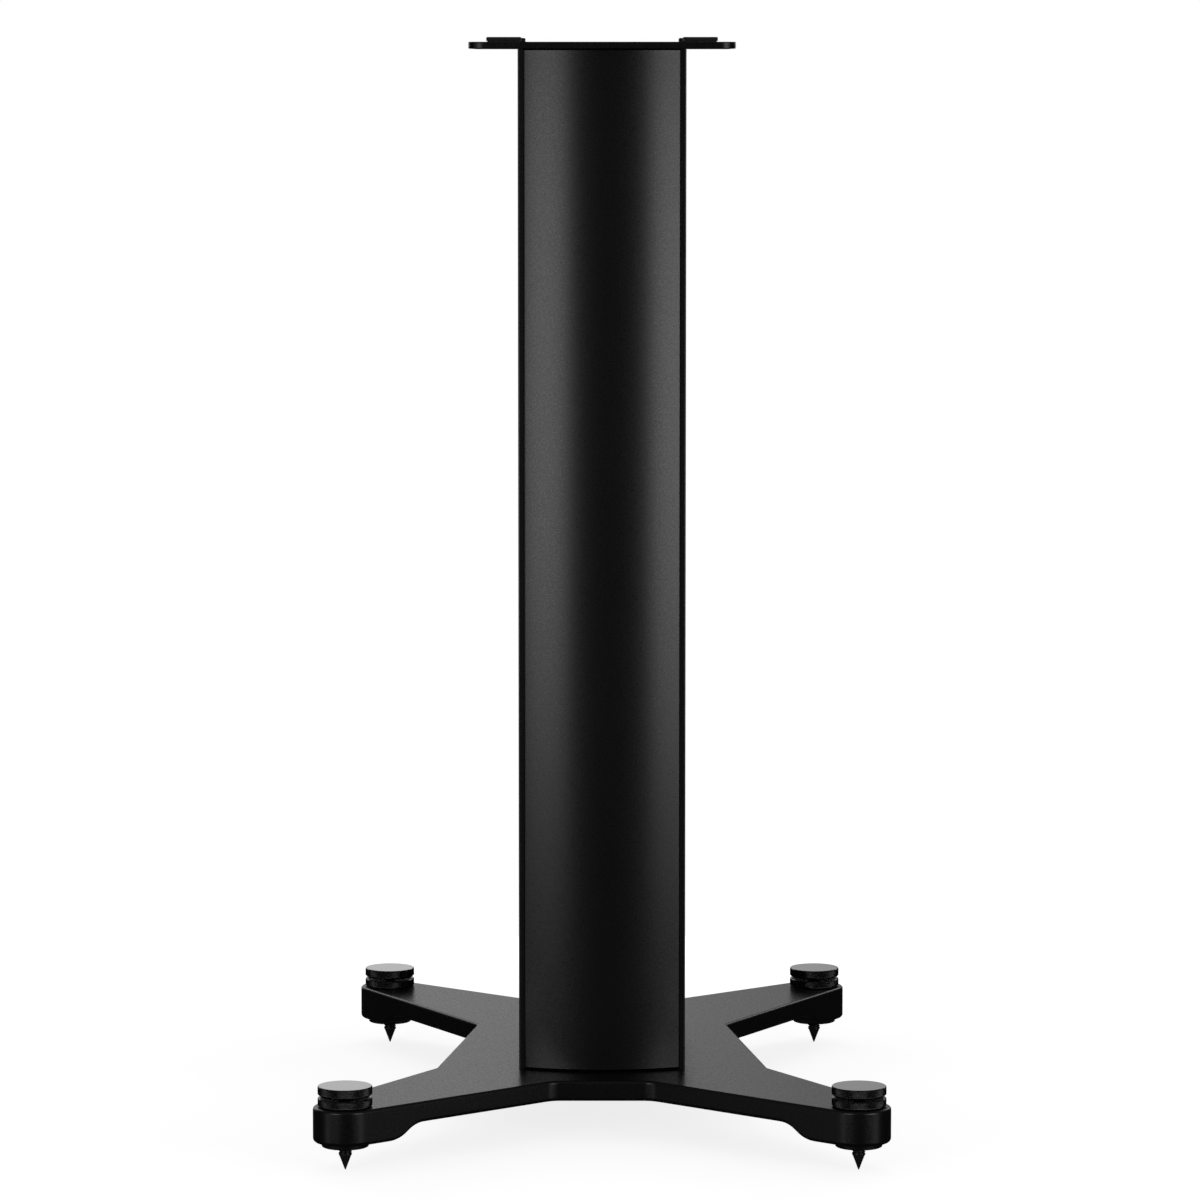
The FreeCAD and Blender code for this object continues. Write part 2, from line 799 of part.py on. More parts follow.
def make_plate_screws():
    """Flush screws down through the top plate into the column's ports."""
    screws = []
    head_under = f"({PLATE_TOP} - Sizes.sink_gap - Sizes.flush_head_height)"
    for name, (x, y) in PORTS.items():
        head = solid(
            "Part::Cone",
            f"flush_{name}",
            x,
            y,
            head_under,
            Radius1="Sizes.flush_head_radius - Sizes.flush_head_height",
            Radius2="Sizes.flush_head_radius",
            Height="Sizes.flush_head_height",
        )
        shank = solid(
            "Part::Cylinder",
            f"flush_shank_{name}",
            x,
            y,
            f"{PLATE_UNDER} - Sizes.screw_grip",
            Radius="Sizes.screw_radius",
            Height="Sizes.screw_grip + Sizes.plate_thick - Sizes.sink_gap",
        )
        socket = hexagon(
            f"flush_socket_{name}",
            x,
            y,
            f"{PLATE_TOP} - Sizes.sink_gap - Sizes.flush_socket_depth",
            "Sizes.flush_socket",
            "Sizes.flush_socket_depth + Sizes.overcut",
        )
        screws.append(fused_less(f"plate_screw_{name}", head, shank, socket))
    group("plate_screws", screws)


# ---------------------------------------------------------------- feet


def turned(label, x, y, corners):
    """A piece turned about its own upright axis, from half of its section."""
    body = new_body(label)
    sketch = new_sketch(body, f"{label}_section", "XZ_Plane")
    profile(sketch, corners)
    revolve(body, sketch, f"{label}_turned")
    place(body, x, y)


def make_inserts():
    """Threaded bushes, each pushed up into its arm until its flange meets the arm."""
    inserts = []
    under = "(Sizes.foot_under - Sizes.flange_thick)"
    for name, (x, y) in FEET.items():
        flange = solid(
            "Part::Cylinder",
            f"flange_{name}",
            x,
            y,
            under,
            Radius="Sizes.flange_radius",
            Height="Sizes.flange_thick",
        )
        sleeve = solid(
            "Part::Cylinder",
            f"sleeve_{name}",
            x,
            y,
            under,
            Radius="Sizes.insert_radius",
            Height=f"Sizes.insert_top - {under}",
        )
        bore = solid(
            "Part::Cylinder",
            f"sleeve_bore_{name}",
            x,
            y,
            f"{under} - Sizes.overcut",
            Radius="Sizes.spindle_bore",
            Height=f"Sizes.insert_top - {under} + 2 * Sizes.overcut",
        )
        inserts.append(fused_less(f"insert_{name}", flange, sleeve, bore))
    group("spike_inserts", inserts)


def make_spike(name, x, y):
    """Threaded spindle with a conical point, which runs up through the arm to the knob."""
    turned(
        f"spike_{name}",
        x,
        y,
        [
            ("0", "0"),
            ("Sizes.tip_radius", "0"),
            ("Sizes.spindle_radius", "Sizes.cone_height"),
            ("Sizes.spindle_radius", "Sizes.spindle_top"),
            ("0", "Sizes.spindle_top"),
        ],
    )


def make_lock_ring(name, x, y):
    """Knurled ring on the spindle that tightens down on the base."""
    turned(
        f"lock_ring_{name}",
        x,
        y,
        [
            ("Sizes.spindle_bore", "Sizes.base_top"),
            ("Sizes.ring_radius - Sizes.ring_under_bevel", "Sizes.base_top"),
            ("Sizes.ring_radius", "Sizes.base_top + Sizes.ring_under_bevel"),
            ("Sizes.ring_radius", RING_TOP),
            ("Sizes.spindle_bore", RING_TOP),
        ],
    )


def make_knob(name, x, y):
    """Flat-topped knurled knob on the spindle's upper end."""
    top = f"({KNOB_UNDER} + Sizes.knob_height)"
    turned(
        f"knob_{name}",
        x,
        y,
        [
            ("Sizes.spindle_bore", KNOB_UNDER),
            ("Sizes.ring_radius - Sizes.knob_under_bevel", KNOB_UNDER),
            ("Sizes.ring_radius", f"{KNOB_UNDER} + Sizes.knob_under_bevel"),
            ("Sizes.ring_radius", top),
            ("0", top),
            ("0", f"{top} - Sizes.knob_cap"),
            ("Sizes.spindle_bore", f"{top} - Sizes.knob_cap"),
        ],
    )


# ---------------------------------------------------------------- assembly

make_base()
make_column()
make_cover(
    "front_cover",
    "Sizes.base_top + Sizes.cover_foot_gap",
    "Sizes.column_length - Sizes.cover_foot_gap - Sizes.cover_top_gap",
    0,
)
make_cover(
    "rear_cover",
    "Sizes.base_top + Sizes.cable_window",
    "Sizes.column_length - 2 * Sizes.cable_window",
    180,
)
make_plate()
for corner, (pad_x, pad_y) in PADS.items():
    make_pad(corner, pad_x, pad_y)
make_tapes()
make_column_screws()
make_plate_screws()
make_inserts()
for corner, (foot_x, foot_y) in FEET.items():
    make_spike(corner, foot_x, foot_y)
    make_lock_ring(corner, foot_x, foot_y)
    make_knob(corner, foot_x, foot_y)
doc.recompute()

failed = [o.Name for o in doc.Objects if {"Invalid", "Error"} & set(o.State)]
if failed:
    raise RuntimeError(f"failed objects: {failed}")
for piece in subparts:
    if piece.Shape.isNull() or not piece.Shape.isValid():
        raise RuntimeError(f"{piece.Label} has no valid shape")

os.makedirs("parts", exist_ok=True)
for piece in subparts:
    piece.Shape.exportStep(os.path.join("parts", f"{piece.Label}.step"))
    print(f"{piece.Label}: {len(piece.Shape.Solids)} solid, {piece.Shape.Volume:.0f} mm3")
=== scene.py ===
import json
import math

import bmesh
import bpy
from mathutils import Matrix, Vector


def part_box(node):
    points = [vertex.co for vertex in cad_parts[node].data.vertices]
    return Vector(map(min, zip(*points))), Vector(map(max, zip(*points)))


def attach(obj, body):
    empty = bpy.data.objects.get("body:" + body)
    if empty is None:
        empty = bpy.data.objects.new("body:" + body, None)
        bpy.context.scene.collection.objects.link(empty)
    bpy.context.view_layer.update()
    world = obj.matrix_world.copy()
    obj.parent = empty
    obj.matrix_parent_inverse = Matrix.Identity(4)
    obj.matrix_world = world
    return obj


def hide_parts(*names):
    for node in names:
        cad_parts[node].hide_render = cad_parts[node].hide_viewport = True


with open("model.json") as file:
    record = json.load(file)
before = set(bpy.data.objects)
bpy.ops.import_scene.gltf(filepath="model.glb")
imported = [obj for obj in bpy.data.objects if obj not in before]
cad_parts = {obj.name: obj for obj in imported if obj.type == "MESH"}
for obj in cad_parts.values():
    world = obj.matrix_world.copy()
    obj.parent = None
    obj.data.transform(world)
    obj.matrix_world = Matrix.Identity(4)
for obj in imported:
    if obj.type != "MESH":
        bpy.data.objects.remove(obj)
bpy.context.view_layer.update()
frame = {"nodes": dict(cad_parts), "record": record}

# Loudspeaker stand in a pale studio. Metres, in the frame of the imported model: +Z up, -Y the
# front, the origin on the floor midway between the four spike points.

mm = 0.001
nodes = frame["nodes"]
mounts = {m["name"]: Vector(m["pos_m"]) for m in frame["record"]["mounts"]}
CORNERS = ("front_left", "front_right", "rear_left", "rear_right")
feet = {corner: mounts[f"floor_point_{corner}"] for corner in CORNERS}


# ---------------------------------------------------------------- meshes


def new_object(name, bm, at=(0, 0, 0)):
    """An object made from a finished bmesh, with its faces turned outwards."""
    mesh = bpy.data.meshes.new(name)
    bmesh.ops.recalc_face_normals(bm, faces=bm.faces)
    bm.to_mesh(mesh)
    bm.free()
    piece = bpy.data.objects.new(name, mesh)
    piece.location = at
    bpy.context.scene.collection.objects.link(piece)
    return piece


def shade(piece, sharp_above=35):
    """Smooth shading in which large flat faces stay flat."""
    mesh = piece.data
    mesh.polygons.foreach_set("use_smooth", [True] * len(mesh.polygons))
    mesh.set_sharp_from_angle(angle=math.radians(sharp_above))
    weighted = piece.modifiers.new("face_weight", "WEIGHTED_NORMAL")
    weighted.keep_sharp = True
    apply_modifiers(piece)


def apply_modifiers(piece):
    """Replaces the mesh by what its modifiers make of it."""
    graph = bpy.context.evaluated_depsgraph_get()
    made = bpy.data.meshes.new_from_object(piece.evaluated_get(graph), depsgraph=graph)
    piece.modifiers.clear()
    old = piece.data
    piece.data = made
    bpy.data.meshes.remove(old)
    made.name = piece.name


def ring_of(bm, points):
    return [bm.verts.new(point) for point in points]


def bridge(bm, lower, upper):
    """A band of quads between two closed rings with the same number of points."""
    count = len(lower)
    for i in range(count):
        j = (i + 1) % count
        bm.faces.new((lower[i], lower[j], upper[j], upper[i]))


def lathe(name, profile, segments, at=(0, 0, 0), relief=None):
    """A piece turned about its own upright axis from (radius, height) pairs. A radius of 0 is
    a pole. relief(angle, height) is cut from every radius that is marked with True."""
    bm = bmesh.new()
    rings = []
    for radius, height, *marked in profile:
        if radius == 0:
            rings.append([bm.verts.new((0, 0, height))])
            continue
        points = []
        for i in range(segments):
            angle = 2 * math.pi * i / segments
            r = radius - (relief(angle, height) if marked and marked[0] else 0)
            points.append((r * math.cos(angle), r * math.sin(angle), height))
        rings.append(ring_of(bm, points))
    closed = profile[0][0] > 0 and profile[-1][0] > 0
    following = rings[1:] + rings[:1] if closed else rings[1:]
    for lower, upper in zip(rings, following):
        if len(lower) > 1 and len(upper) > 1:
            bridge(bm, lower, upper)
        else:
            fan(bm, lower, upper)
    return new_object(name, bm, at)


def fan(bm, one, other):
    pole, ring = (one[0], other) if len(one) == 1 else (other[0], one)
    for i in range(len(ring)):
        bm.faces.new((pole, ring[i], ring[(i + 1) % len(ring)]))


def cut_away(piece, cutters):
    """Boolean difference with closed cutter objects, which are then removed."""
    for cutter in cutters:
        cut = piece.modifiers.new("cut", "BOOLEAN")
        cut.operation = "DIFFERENCE"
        cut.solver = "EXACT"
        cut.object = cutter
    apply_modifiers(piece)
    for cutter in cutters:
        bpy.data.objects.remove(cutter)


def drill(x, y, radius, low, high, segments=64):
    profile = [(0, low), (radius, low), (radius, high), (0, high)]
    return lathe("drill", profile, segments, (x, y, 0))


# ---------------------------------------------------------------- the base seen from above

ARM_END_RADIUS = 18.6 * mm
FRONT_EDGE = (28.4 * mm, -125.8 * mm, 12 * mm)
WAIST_FRONT = (99.2 * mm, -83.0 * mm, 12 * mm)
WAIST_REAR = (78.0 * mm, 60.8 * mm, 4 * mm)
REAR_EDGE = (25.0 * mm, 131.8 * mm, 12 * mm)
TOP_ROUNDING = 1.75 * mm
UNDER_ROUNDING = 2.4 * mm
ROUNDING_STEPS = 6
OUTLINE_STEP = 2.5 * mm
ARC_STEP = math.radians(6)

FOOT_UNDER = 16.5 * mm
MIDDLE_UNDER = 25.0 * mm
CURVE_START = 16.5 * mm
CURVE_RUN = 24.5 * mm
CURVE_CUTS = 14
ARM_TURN = {"front": math.radians(131.5), "rear": math.radians(231.0)}

COUNTERBORE_RADIUS = 5.6 * mm
COUNTERBORE_DEPTH = 6.6 * mm
INSERT_BORE = 8.0 * mm
BELOW = 5 * mm
SCREW_HEAD_RADIUS = 5 * mm
ARM_REACH = 0.09


def touch(outside, centre, radius, side):
    """Where the line from an outside point touches a circle."""
    away = outside - centre
    angle = math.atan2(away.y, away.x) + side * math.acos(radius / away.length)
    return centre + radius * Vector((math.cos(angle), math.sin(angle)))


def arc(centre, start, end, counterclockwise):
    """Points and outward directions along an arc, both ends included."""
    radius = (start - centre).length
    first = math.atan2(start.y - centre.y, start.x - centre.x)
    last = math.atan2(end.y - centre.y, end.x - centre.x)
    sweep = (last - first) % (2 * math.pi)
    if not counterclockwise:
        sweep -= 2 * math.pi
    steps = max(2, math.ceil(abs(sweep) / ARC_STEP))
    found = []
    for i in range(steps + 1):
        angle = first + sweep * i / steps
        away = Vector((math.cos(angle), math.sin(angle)))
        found.append((centre + away * radius, away if counterclockwise else -away))
    return found


def corner_arc(before, corner, radius, after):
    """The rounding of a corner between two straight edges."""
    into = (corner - before).normalized()
    out = (after - corner).normalized()
    turn = into.x * out.y - into.y * out.x
    half = into.angle(out) / 2
    start = corner - into * radius * math.tan(half)
    end = corner + out * radius * math.tan(half)
    left = Vector((-into.y, into.x))
    centre = start + left * radius * math.copysign(1, turn)
    return arc(centre, start, end, turn > 0)


def base_outline():
    """Points of the base's outline with their outward directions, counterclockwise."""
    half = [
        (Vector(FRONT_EDGE[:2]), FRONT_EDGE[2]),
        (feet["front_right"].xy, None),
        (Vector(WAIST_FRONT[:2]), WAIST_FRONT[2]),
        (Vector(WAIST_REAR[:2]), WAIST_REAR[2]),
        (feet["rear_right"].xy, None),
        (Vector(REAR_EDGE[:2]), REAR_EDGE[2]),
    ]
    stops = half + [(Vector((-p.x, p.y)), radius) for p, radius in reversed(half)]
    count = len(stops)
    pieces = []
    for i, (point, radius) in enumerate(stops):
        before, before_radius = stops[i - 1]
        after, after_radius = stops[(i + 1) % count]
        if radius is None:
            start = touch(before, point, ARM_END_RADIUS, 1)
            end = touch(after, point, ARM_END_RADIUS, -1)
            pieces.append(arc(point, start, end, True))
            continue
        if before_radius is None:
            before = touch(point, before, ARM_END_RADIUS, -1)
        if after_radius is None:
            after = touch(point, after, ARM_END_RADIUS, 1)
        pieces.append(corner_arc(before, point, radius, after))
    return joined(pieces)


def joined(pieces):
    """The arcs one after another, with points added along the straight edges between them."""
    outline = []
    for i, piece in enumerate(pieces):
        outline.extend(piece)
        start = piece[-1][0]
        end = pieces[(i + 1) % len(pieces)][0][0]
        along = end - start
        outward = Vector((along.y, -along.x)).normalized()
        steps = max(1, round(along.length / OUTLINE_STEP))
        outline.extend((start + along * k / steps, outward) for k in range(1, steps))
    return outline


def arm_direction(corner):
    end, side = corner.split("_")
    turn = ARM_TURN[end]
    mirrored = -1 if side == "left" else 1
    return Vector((math.cos(turn) * mirrored, math.sin(turn)))


def underside(x, y):
    """Height of the base's underside: flat at each foot, then an S curve to the middle."""
    point = Vector((x, y))
    corner = min(CORNERS, key=lambda c: (feet[c].xy - point).length)
    along = (point - feet[corner].xy).dot(arm_direction(corner)) - CURVE_START
    rise = MIDDLE_UNDER - FOOT_UNDER
    bend = (CURVE_RUN**2 + rise**2) / (4 * rise)
    if along <= 0:
        return FOOT_UNDER
    if along >= CURVE_RUN:
        return MIDDLE_UNDER
    if along < CURVE_RUN / 2:
        return FOOT_UNDER + bend - math.sqrt(bend**2 - along**2)
    return MIDDLE_UNDER - bend + math.sqrt(bend**2 - (CURVE_RUN - along) ** 2)


def make_base():
    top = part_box("base_casting")[1].z
    outline = base_outline()
    bm = bmesh.new()
    rings = []
    for step in range(ROUNDING_STEPS, -1, -1):
        angle = math.pi / 2 * step / ROUNDING_STEPS
        inset = UNDER_ROUNDING * (1 - math.cos(angle))
        points = []
        for point, outward in outline:
            spot = point - outward * inset
            lift = UNDER_ROUNDING * (1 - math.sin(angle))
            height = 0 if step == ROUNDING_STEPS else underside(*spot) + lift
            points.append((spot.x, spot.y, height))
        rings.append(ring_of(bm, points))
    for step in range(ROUNDING_STEPS + 1):
        angle = math.pi / 2 * step / ROUNDING_STEPS
        inset = TOP_ROUNDING * (1 - math.cos(angle))
        height = top - TOP_ROUNDING * (1 - math.sin(angle))
        rings.append(ring_of(bm, [(*(p - n * inset), height) for p, n in outline]))
    for lower, upper in zip(rings, rings[1:]):
        bridge(bm, lower, upper)
    bm.faces.new(rings[-1])
    floor = bm.faces.new(list(reversed(rings[0])))
    cut_underside(bm, floor)
    piece = new_object("base_body", bm)
    screw_x, screw_backs = screw_places()
    drills = [
        drill(foot.x, foot.y, INSERT_BORE, FOOT_UNDER - BELOW, top + BELOW)
        for foot in feet.values()
    ]
    for side in (-1, 1):
        for back in screw_backs:
            high = MIDDLE_UNDER + COUNTERBORE_DEPTH
            drills.append(drill(side * screw_x, back, COUNTERBORE_RADIUS, 0, high))
    cut_away(piece, drills)
    shade(piece)
    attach(piece, "stand")
    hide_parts("base_casting")
    return piece


def cut_underside(bm, floor):
    """Cuts the flat underside across each arm, and lifts its points on to the S curves."""
    faces = bmesh.ops.triangulate(bm, faces=[floor])["faces"]
    for corner in CORNERS:
        direction = arm_direction(corner)
        for k in range(CURVE_CUTS + 1):
            at = feet[corner].xy + direction * (CURVE_START + CURVE_RUN * k / CURVE_CUTS)
            low = [f for f in bm.faces if all(v.co.z == 0 for v in f.verts)]
            near = [
                f
                for f in low
                if min((v.co.xy - feet[corner].xy).length for v in f.verts) < ARM_REACH
            ]
            edges = {e for f in near for e in f.edges}
            verts = {v for f in near for v in f.verts}
            bmesh.ops.bisect_plane(
                bm,
                geom=[*near, *edges, *verts],
                plane_co=(at.x, at.y, 0),
                plane_no=(direction.x, direction.y, 0),
                dist=1e-6,
            )
    for vert in bm.verts:
        if vert.co.z == 0:
            vert.co.z = underside(vert.co.x, vert.co.y)


def screw_places():
    """X and the two Y of the column's screws, from the box round their heads."""
    low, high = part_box("column_screws")
    head = SCREW_HEAD_RADIUS
    return high.x - head, (low.y + head, high.y - head)


# ---------------------------------------------------------------- covers

COVER_RADIUS = 118 * mm
COVER_APEX = 97.4 * mm
COVER_THICK = 3 * mm
COVER_HALF_WIDTH = 46.1 * mm
COVER_STEPS = 48
COVER_EDGE_ROUNDING = 0.2 * mm
COVER_END_BEVEL = 0.12 * mm
LEG_X = 38.9 * mm
LEG_THICK = 2.2 * mm
LEG_BACK = 79.4 * mm
BARB = 2.6 * mm
BARB_BACK = 82.0 * mm
BARB_FLAT = 1.3 * mm


def cover_profile():
    """The right half of a cover seen from above, from the middle of its face round to the
    middle of its back, as points with y to the rear."""
    centre = COVER_RADIUS - COVER_APEX
    inner = COVER_RADIUS - COVER_THICK

    def bowed(radius, x):
        return centre - math.sqrt(radius**2 - x**2)

    half = []
    for k in range(COVER_STEPS + 1):
        x = (COVER_HALF_WIDTH - COVER_EDGE_ROUNDING) * k / COVER_STEPS
        half.append((x, bowed(COVER_RADIUS, x)))
    edge_y = bowed(COVER_RADIUS, COVER_HALF_WIDTH)
    half.append((COVER_HALF_WIDTH, edge_y + COVER_EDGE_ROUNDING))
    half.append((COVER_HALF_WIDTH, bowed(inner, COVER_HALF_WIDTH)))
    outer = LEG_X + LEG_THICK
    half += [
        (outer, bowed(inner, outer)),
        (outer, -BARB_BACK),
        (outer + BARB, -BARB_BACK),
        (outer + BARB, -BARB_BACK + BARB_FLAT),
        (outer, -LEG_BACK),
        (LEG_X, -LEG_BACK),
    ]
    for k in range(COVER_STEPS // 2, -1, -1):
        x = LEG_X * k / (COVER_STEPS // 2)
        half.append((x, bowed(inner, x)))
    return half


def make_cover(name, node):
    low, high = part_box(node)
    half = cover_profile()
    loop = half + [(-x, y) for x, y in reversed(half) if x > 0]
    facing = 1 if low.y < 0 else -1
    bm = bmesh.new()
    ends = [
        ring_of(bm, [(x * facing, y * facing, height) for x, y in loop])
        for height in (low.z, high.z)
    ]
    bridge(bm, *ends)
    for ring in ends:
        bm.faces.new(ring)
    piece = new_object(name, bm)
    edges = piece.modifiers.new("edges", "BEVEL")
    edges.width = COVER_END_BEVEL
    edges.segments = 2
    edges.limit_method = "ANGLE"
    edges.angle_limit = math.radians(60)
    apply_modifiers(piece)
    shade(piece, 50)
    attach(piece, "stand")
    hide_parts(node)
    return piece


# ---------------------------------------------------------------- feet

KNURL_COUNT = 120
KNURL_SAMPLES = 4
KNURL_RISE = 1.44 * mm
KNURL_DEPTH = 0.3 * mm
KNURL_ROW = 0.18 * mm
WHEEL_SEGMENTS = KNURL_COUNT * KNURL_SAMPLES
THREAD_PITCH = 1.25 * mm
THREAD_DEPTH = 0.68 * mm
THREAD_ROW = 0.156 * mm
THREAD_SEGMENTS = 48
THREAD_LEAD = 0.9 * mm
SMOOTH_SEGMENTS = 96
SPINDLE_BORE = 4.0 * mm
BORE_BEVEL = 0.3 * mm
KNURL_RIM = 0.15 * mm
CONE_TOP = 9.0 * mm
THREAD_START = CONE_TOP + 0.2 * mm
SPINDLE_END = 0.6 * mm
SLEEVE_RADIUS = 7.95 * mm
FLANGE_BEVEL = 0.6 * mm
FLANGE_CORNER = 0.2 * mm


def wave(turns):
    """1 at whole numbers and 0 half way between them, in straight lines."""
    return abs(2 * (turns % 1) - 1)


def knurl(angle, height):
    """Depth of two crossed sets of slanting grooves, which leave small pyramids."""
    round_way = KNURL_COUNT * angle / (2 * math.pi)
    up = height / KNURL_RISE
    return KNURL_DEPTH * max(wave(round_way + up), wave(round_way - up))


def knurled_band(radius, low, high):
    rows = round((high - low) / KNURL_ROW)
    return [(radius, low + (high - low) * k / rows, True) for k in range(rows + 1)]


def make_wheel(name, node, at, under_bevel, top_bevel, cap=None):
    """A knurled wheel with bevelled rims: open for the spindle below, and above as well unless
    it has a cap of some thickness."""
    low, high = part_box(node)
    radius = (high.x - low.x) / 2
    bottom = low.z
    top = high.z
    smooth = KNURL_RIM
    bore = SPINDLE_BORE
    profile = [
        (bore, bottom + BORE_BEVEL),
        (bore + BORE_BEVEL, bottom),
        (radius - under_bevel, bottom),
        (radius - smooth, bottom + under_bevel - smooth),
        *knurled_band(radius, bottom + under_bevel, top - top_bevel - smooth),
        (radius - smooth, top - top_bevel),
        (radius - smooth - top_bevel, top),
    ]
    if cap:
        profile.append((radius * 0.5, top))
        profile.append((0, top))
        profile.insert(0, (bore, top - cap))
        profile.insert(0, (0, top - cap))
    else:
        profile.append((bore + BORE_BEVEL, top))
        profile.append((bore, top - BORE_BEVEL))
    profile = [(r, z - bottom, *marked) for r, z, *marked in profile]
    piece = lathe(name, profile, WHEEL_SEGMENTS, (at.x, at.y, bottom), knurl)
    shade(piece, 40)
    return piece


def thread(top):
    """Depth of the spindle's right-hand thread, which runs out at both ends."""

    def depth(angle, height):
        fade = min(1, (height - THREAD_START) / THREAD_LEAD, (top - height) / THREAD_LEAD)
        valley = wave(height / THREAD_PITCH - angle / (2 * math.pi))
        return THREAD_DEPTH * min(1, 1.25 * valley) * max(0, fade)

    return depth


def make_spike(corner):
    node = f"spike_{corner}"
    low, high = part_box(node)
    radius = (high.x - low.x) / 2
    length = high.z - SPINDLE_END - THREAD_START
    rows = round(length / THREAD_ROW)
    step = length / rows
    profile = [
        (0, 0),
        (0.3 * mm, 0.02 * mm),
        (radius - 0.62 * mm, CONE_TOP - 0.9 * mm),
        (radius - 0.12 * mm, CONE_TOP - 0.05 * mm),
        *[(radius, THREAD_START + step * k, True) for k in range(rows + 1)],
        (radius - 0.5 * mm, high.z),
        (0, high.z),
    ]
    at = feet[corner]
    piece = lathe(f"spike_thread_{corner}", profile, THREAD_SEGMENTS, at, thread(high.z))
    shade(piece, 60)
    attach(piece, f"spindle_{corner}")
    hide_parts(node)
    return piece


def make_foot(corner):
    knob_node = f"knob_{corner}"
    ring_node = f"lock_ring_{corner}"
    at = feet[corner]
    knob = make_wheel(
        f"knob_wheel_{corner}",
        knob_node,
        at,
        under_bevel=1.25 * mm,
        top_bevel=0.3 * mm,
        cap=1.3 * mm,
    )
    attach(knob, f"knob_{corner}")
    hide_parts(knob_node)
    ring = make_wheel(
        f"lock_wheel_{corner}", ring_node, at, under_bevel=0.9 * mm, top_bevel=0.45 * mm
    )
    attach(ring, f"ring_{corner}")
    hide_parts(ring_node)
    return knob, ring, make_spike(corner)


def make_inserts():
    """The four flanged bushes, as one piece."""
    low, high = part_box("spike_inserts")
    flange = high.x - feet["front_right"].x
    sleeve = SLEEVE_RADIUS
    bore = SPINDLE_BORE
    bevel = FLANGE_BEVEL
    profile = [
        (bore, low.z + bevel),
        (bore + bevel, low.z),
        (flange - bevel, low.z),
        (flange - FLANGE_CORNER, low.z + FLANGE_CORNER),
        (flange, low.z + bevel),
        (flange, FOOT_UNDER),
        (sleeve, FOOT_UNDER),
        (sleeve, high.z),
        (bore, high.z),
    ]
    whole = bmesh.new()
    for corner in CORNERS:
        bush = lathe("bush", profile, SMOOTH_SEGMENTS)
        bush.data.transform(bush.matrix_world.Translation(feet[corner]))
        whole.from_mesh(bush.data)
        bpy.data.objects.remove(bush)
    piece = new_object("insert_bushes", whole)
    shade(piece)
    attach(piece, "stand")
    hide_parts("spike_inserts")
    return piece


# ---------------------------------------------------------------- materials

TOOL_MARKS = 0.17 * mm
COAT_ROUGHNESS = 0.16
FACING_UP = 0.99


class Nodes:
    """A node tree to which nodes are added."""

    def __init__(self, tree):
        self.tree = tree

    def add(self, kind, inputs=None, **settings):
        """A new node, with each input either linked or given its number."""
        node = self.tree.nodes.new(kind)
        for name, setting in settings.items():
            setattr(node, name, setting)
        for name, given in (inputs or {}).items():
            if isinstance(given, bpy.types.NodeSocket):
                self.tree.links.new(given, node.inputs[name])
            else:
                node.inputs[name].default_value = given
        return node


class Finish(Nodes):
    """A material whose shader's plain values stay on the shader itself, and whose colour,
    roughness and bump come from procedural patterns at real size."""

    def __init__(self, name, **settings):
        self.material = bpy.data.materials.new(name)
        self.material.use_nodes = True
        super().__init__(self.material.node_tree)
        self.shader = self.tree.nodes["Principled BSDF"]
        for socket, number in settings.items():
            self.shader.inputs[socket.replace("_", " ")].default_value = number
        self.place = self.add("ShaderNodeTexCoord").outputs["Object"]
        self.normal = None

    def stretched(self, x, y, z):
        """Coordinates scaled apart, so that a pattern is drawn out along one axis."""
        scaled = self.add(
            "ShaderNodeVectorMath",
            {0: self.place, 1: (x, y, z)},
            operation="MULTIPLY",
        )
        return scaled.outputs["Vector"]

    def noise(self, size, detail=2, roughness=0.5, where=None):
        """Noise whose blobs are about size metres across, from 0 to 1."""
        made = self.add(
            "ShaderNodeTexNoise",
            {
                "Vector": where or self.place,
                "Scale": 1 / size,
                "Detail": detail,
                "Roughness": roughness,
            },
        )
        return made.outputs["Fac"]

    def spread(self, source, low, high, source_low=0.3, source_high=0.7):
        """The same pattern drawn between two other numbers."""
        made = self.add(
            "ShaderNodeMapRange",
            {
                "Value": source,
                "From Min": source_low,
                "From Max": source_high,
                "To Min": low,
                "To Max": high,
            },
        )
        return made.outputs["Result"]

    def bump(self, height, depth, strength=1.0):
        """Adds relief of a real depth in metres on what is already there."""
        inputs = {"Height": height, "Distance": depth, "Strength": strength}
        if self.normal:
            inputs["Normal"] = self.normal
        self.normal = self.add("ShaderNodeBump", inputs).outputs["Normal"]
        self.tree.links.new(self.normal, self.shader.inputs["Normal"])

    def set(self, socket, source):
        self.tree.links.new(source, self.shader.inputs[socket])


def grey(level):
    return (level, level, level * 1.02)


def mix_colours(finish, source, dark, light):
    """Base colour between two greys by a pattern."""
    mixed = finish.add("ShaderNodeMix", data_type="RGBA")
    finish.tree.links.new(source, mixed.inputs[0])
    mixed.inputs[6].default_value = (*grey(dark), 1)
    mixed.inputs[7].default_value = (*grey(light), 1)
    finish.set("Base Color", mixed.outputs[2])


def powder_coat(name, level=0.0025, gloss=0.25, rough=0.29):
    """Fine textured black powder coat: close grain over a faint orange peel."""
    finish = Finish(name, Specular_IOR_Level=gloss)
    grain = finish.noise(0.45 * mm, 3, 0.6)
    peel = finish.noise(1.5 * mm, 2)
    cloud = finish.noise(35 * mm, 3)
    mix_colours(finish, finish.spread(cloud, 0, 1), level * 0.9, level * 1.15)
    pebbles = finish.noise(1.5 * mm, 3, 0.8)
    finish.set("Roughness", finish.spread(pebbles, rough - 0.06, rough + 0.08))
    finish.bump(finish.noise(2.4 * mm, 3, 0.8), 0.02 * mm)
    finish.bump(peel, 0.016 * mm)
    finish.bump(grain, 0.006 * mm)
    return finish.material


